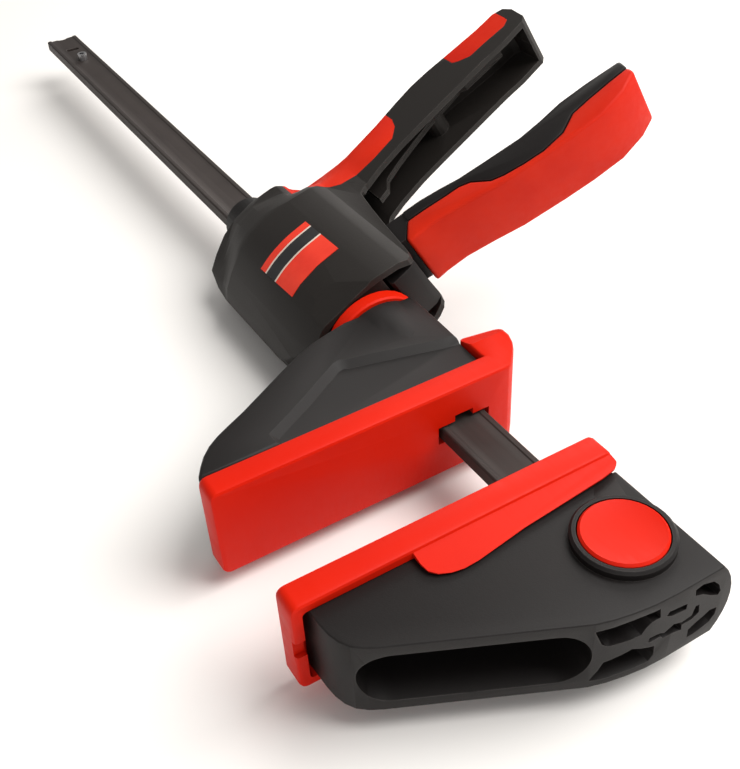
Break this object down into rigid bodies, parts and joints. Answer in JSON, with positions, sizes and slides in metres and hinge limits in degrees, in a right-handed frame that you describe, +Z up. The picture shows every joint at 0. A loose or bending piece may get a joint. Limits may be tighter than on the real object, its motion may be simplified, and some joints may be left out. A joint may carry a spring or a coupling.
{
  "type": "one-handed bar clamp",
  "caption": "One-handed bar clamp and spreader with red pads, black jaws and a trigger handle that swivels about its bar.",
  "frame": {"origin": "the middle of the fixed pad's clamping face, 50 mm from the bar's axis towards the jaw tips", "axes": "+X along the bar from the fixed jaw to the bar's free end, +Y from the bar to the jaw tips, +Z up as the clamp lies on its side"},
  "size_m": [0.4979, 0.2085, 0.0987],
  "materials": {
    "black_plastic": "finely textured moulded glass-filled nylon",
    "charcoal_plastic": "finely textured moulded glass-filled nylon",
    "red_plastic": "smooth moulded red polymer",
    "soft_red": "soft over-moulded red elastomer",
    "dark_steel": "dark browned steel",
    "plain_steel": "plain steel",
    "spring_steel": "oiled spring wire"
  },
  "bodies": {
    "rail": {"bar": "dark_steel", "bar_stop_pin": "plain_steel", "fixed_jaw_body": "black_plastic", "fixed_jaw_pad": "red_plastic", "button_spring": "spring_steel"},
    "release_button": {"release_button": "red_plastic"},
    "moving_jaw": {"moving_jaw_body": "black_plastic", "moving_jaw_pad": "red_plastic", "swivel_sleeve": "plain_steel", "swivel_ring": "red_plastic", "retaining_clip": "spring_steel", "rear_guide_bush": "black_plastic", "brake_spring": "spring_steel"},
    "handle": {"housing_left": "charcoal_plastic", "housing_right": "charcoal_plastic", "grip_strip_lower": "soft_red", "grip_strip_upper": "soft_red", "housing_screw_1": "plain_steel", "housing_screw_2": "plain_steel", "housing_screw_3": "plain_steel", "housing_screw_4": "plain_steel", "trigger_pivot_pin": "plain_steel", "release_pin": "plain_steel", "trigger_return_spring": "spring_steel", "drive_spring": "spring_steel"},
    "trigger": {"trigger_core": "black_plastic", "trigger_cover": "soft_red"},
    "release_lever": {"release_lever": "black_plastic"},
    "drive_plates": {"drive_plate_front": "plain_steel", "drive_plate_rear": "plain_steel"},
    "brake": {"brake_plate": "plain_steel"}
  },
  "joints": [
    {"name": "button_press", "type": "slide", "parent": "rail", "child": "release_button", "axis": [0, 0, -1], "range_m": [0, 0.0032], "stiffness_N_per_m": 400, "springref_m": -0.002, "deforming": ["button_spring"]},
    {"name": "jaw_slide", "type": "slide", "parent": "rail", "child": "moving_jaw", "axis": [1, 0, 0], "range_m": [-0.0397, 0.2034]},
    {"name": "handle_swivel", "type": "hinge", "parent": "moving_jaw", "child": "handle", "pos_m": [0.1, -0.05, 0], "axis": [1, 0, 0], "continuous": true},
    {"name": "trigger_squeeze", "type": "hinge", "parent": "handle", "child": "trigger", "pos_m": [0.123, -0.03805, -0.0069], "axis": [0, 0.5, 0.866], "range_deg": [0, 20], "stiffness_Nm_per_rad": 0.6, "springref_deg": -17.19},
    {"name": "release_press", "type": "hinge", "parent": "handle", "child": "release_lever", "pos_m": [0.103, -0.07252, 0.013], "axis": [0, -0.5, -0.866], "range_deg": [0, 12], "stiffness_Nm_per_rad": 0.08, "springref_deg": -17.19},
    {"name": "drive_stroke", "type": "slide", "parent": "moving_jaw", "child": "drive_plates", "axis": [1, 0, 0], "range_m": [0, 0.007], "deforming": ["drive_spring"]},
    {"name": "brake_tilt_free", "type": "slide", "parent": "moving_jaw", "child": "brake", "axis": [1, 0, 0], "range_m": [0, 0.0025], "deforming": ["brake_spring"]}
  ],
  "couplings": [
    {"joint": "drive_stroke", "follows": "trigger_squeeze", "m_per_rad": 0.0183},
    {"joint": "release_press", "follows": "brake_tilt_free", "rad_per_m": 83.333}
  ]
}
